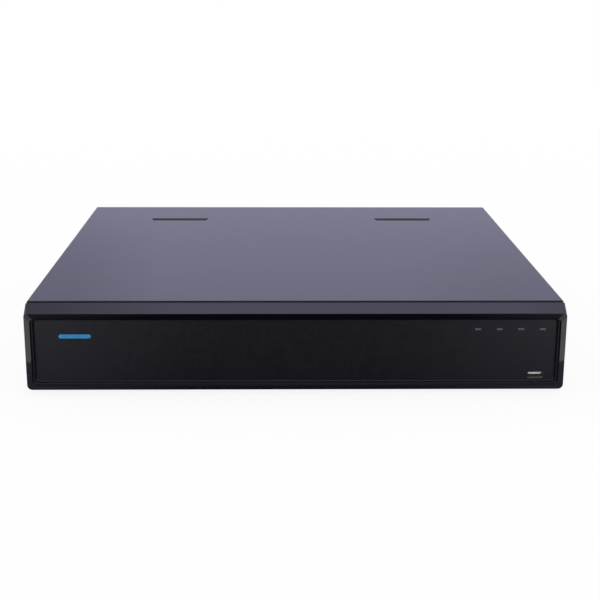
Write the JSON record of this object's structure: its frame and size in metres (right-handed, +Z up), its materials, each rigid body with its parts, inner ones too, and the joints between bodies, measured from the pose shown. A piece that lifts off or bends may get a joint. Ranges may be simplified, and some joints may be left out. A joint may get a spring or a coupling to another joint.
{
  "type": "video recorder",
  "caption": "Low rectangular recorder in a black steel case with a sliding top cover, a recessed front panel with status lights and a data socket, and rear connectors.",
  "frame": {"origin": "middle of the whole footprint, on the surface that the feet stand on", "axes": "+X to the right seen from the front, +Y from the front to the rear, +Z up"},
  "size_m": [0.44, 0.4294, 0.076],
  "materials": {
    "bezel_plastic": "semi-gloss moulded black",
    "panel_plastic": "satin black",
    "clear_plastic": "clear moulded light guide",
    "painted_steel": "fine-textured black powder coat",
    "bare_steel": "zinc plated",
    "black_steel": "black oxide",
    "nickel": "nickel plated",
    "gold": "gold plated contact",
    "rubber": "matt black",
    "black_plastic": "moulded black",
    "white_plastic": "moulded white",
    "green_plastic": "moulded green",
    "blue_plastic": "moulded blue",
    "red_plastic": "moulded red",
    "circuit_board": "solder mask green",
    "brown_board": "phenolic board",
    "cast_aluminium": "cast and machined",
    "fin_aluminium": "black anodised",
    "winding_tape": "yellow tape",
    "wire": "wire insulation",
    "wire_yellow": "wire insulation"
  },
  "bodies": {
    "chassis": {"front_bezel": "bezel_plastic", "front_panel": "panel_plastic", "light_guide": "clear_plastic", "base_tray": "painted_steel", "rear_panel": "painted_steel", "case_screws": "bare_steel", "foot_front_left": "rubber", "foot_front_right": "rubber", "foot_rear_left": "rubber", "foot_rear_right": "rubber", "front_board": "circuit_board", "status_leds": "white_plastic", "usb_shells": "nickel", "usb_tongues": "white_plastic", "usb_contacts": "gold", "front_ribbon_cable": "wire", "main_board": "circuit_board", "board_standoffs": "bare_steel", "processor_heatsink": "fin_aluminium", "codec_heatsink": "cast_aluminium", "board_chips": "black_plastic", "coin_cell": "bare_steel", "sata_sockets": "black_plastic", "sata_cables": "red_plastic", "bnc_block": "black_plastic", "bnc_shells": "nickel", "bnc_inserts": "white_plastic", "bnc_pins": "gold", "rca_shells": "nickel", "rca_inserts": "red_plastic", "vga_shell": "nickel", "vga_insert": "blue_plastic", "vga_posts": "nickel", "hdmi_shells": "nickel", "hdmi_tongues": "black_plastic", "network_shell": "nickel", "network_insert": "black_plastic", "alarm_header": "green_plastic", "power_inlet": "black_plastic", "inlet_pins": "nickel", "switch_frame": "black_plastic", "mains_wires": "wire", "power_harness": "wire_yellow", "psu_board": "brown_board", "psu_transformer": "winding_tape", "psu_capacitors": "black_plastic", "psu_heatsinks": "cast_aluminium", "fan_frame": "black_plastic", "fan_screws": "black_steel", "disk_bodies": "cast_aluminium", "disk_lids": "bare_steel", "disk_boards": "circuit_board", "disk_brackets": "bare_steel", "disk_screws": "bare_steel"},
    "lid": {"top_cover": "painted_steel", "cover_screws": "black_steel"},
    "rocker": {"power_rocker": "black_plastic"},
    "rotor": {"fan_rotor": "black_plastic"},
    "terminal_plug": {"alarm_plug": "green_plastic", "alarm_plug_screws": "bare_steel"}
  },
  "joints": [
    {"name": "cover_slide", "type": "slide", "parent": "chassis", "child": "lid", "axis": [0, 1, 0], "range_m": [0, 0.012]},
    {"name": "rocker_tilt", "type": "hinge", "parent": "chassis", "child": "rocker", "pos_m": [-0.1909, 0.20225, 0.0515], "axis": [-1, 0, 0], "range_deg": [0, 18]},
    {"name": "fan_spin", "type": "hinge", "parent": "chassis", "child": "rotor", "pos_m": [-0.1474, 0.19315, 0.0402], "axis": [0, 1, 0], "continuous": true},
    {"name": "terminal_pull", "type": "slide", "parent": "chassis", "child": "terminal_plug", "axis": [0, 1, 0], "range_m": [0, 0.01]}
  ]
}
